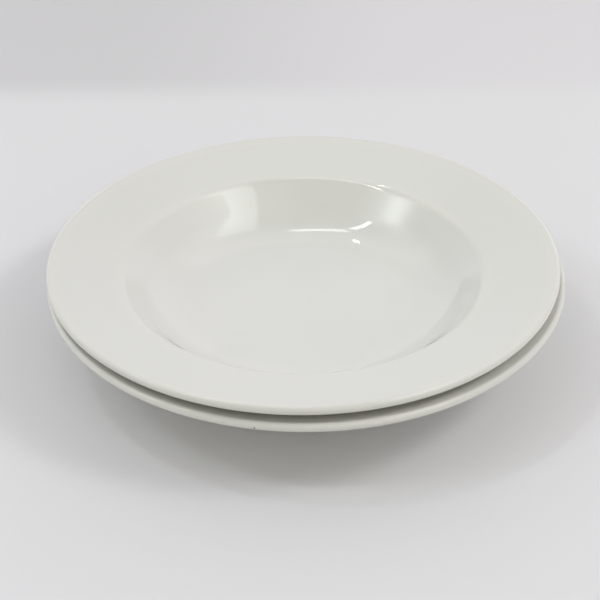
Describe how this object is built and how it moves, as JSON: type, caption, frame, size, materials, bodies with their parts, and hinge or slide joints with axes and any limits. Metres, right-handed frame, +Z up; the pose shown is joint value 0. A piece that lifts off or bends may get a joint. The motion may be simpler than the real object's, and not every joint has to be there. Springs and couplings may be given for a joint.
{
  "type": "rimmed soup plate",
  "caption": "Nested rimmed soup plates with a wide sloping rim, round lip, soft-edged well, flat floor and low foot ring, in cream gloss glaze; the upper one lifts off.",
  "frame": {"origin": "middle of the lower plate's foot ring, on the surface that it stands on", "axes": "+Z up along the plates' axes, +X to the right and -Y towards the viewer in the picture"},
  "size_m": [0.233, 0.233, 0.0419],
  "materials": {
    "lower_glaze": "gloss",
    "upper_glaze": "gloss"
  },
  "bodies": {
    "lower_plate": {"lower_plate": "lower_glaze"},
    "upper_plate": {"upper_plate": "upper_glaze"}
  },
  "joints": [
    {"name": "upper_plate_lift", "type": "slide", "parent": "lower_plate", "child": "upper_plate", "axis": [0, 0, 1], "range_m": [0, 0.06]}
  ]
}
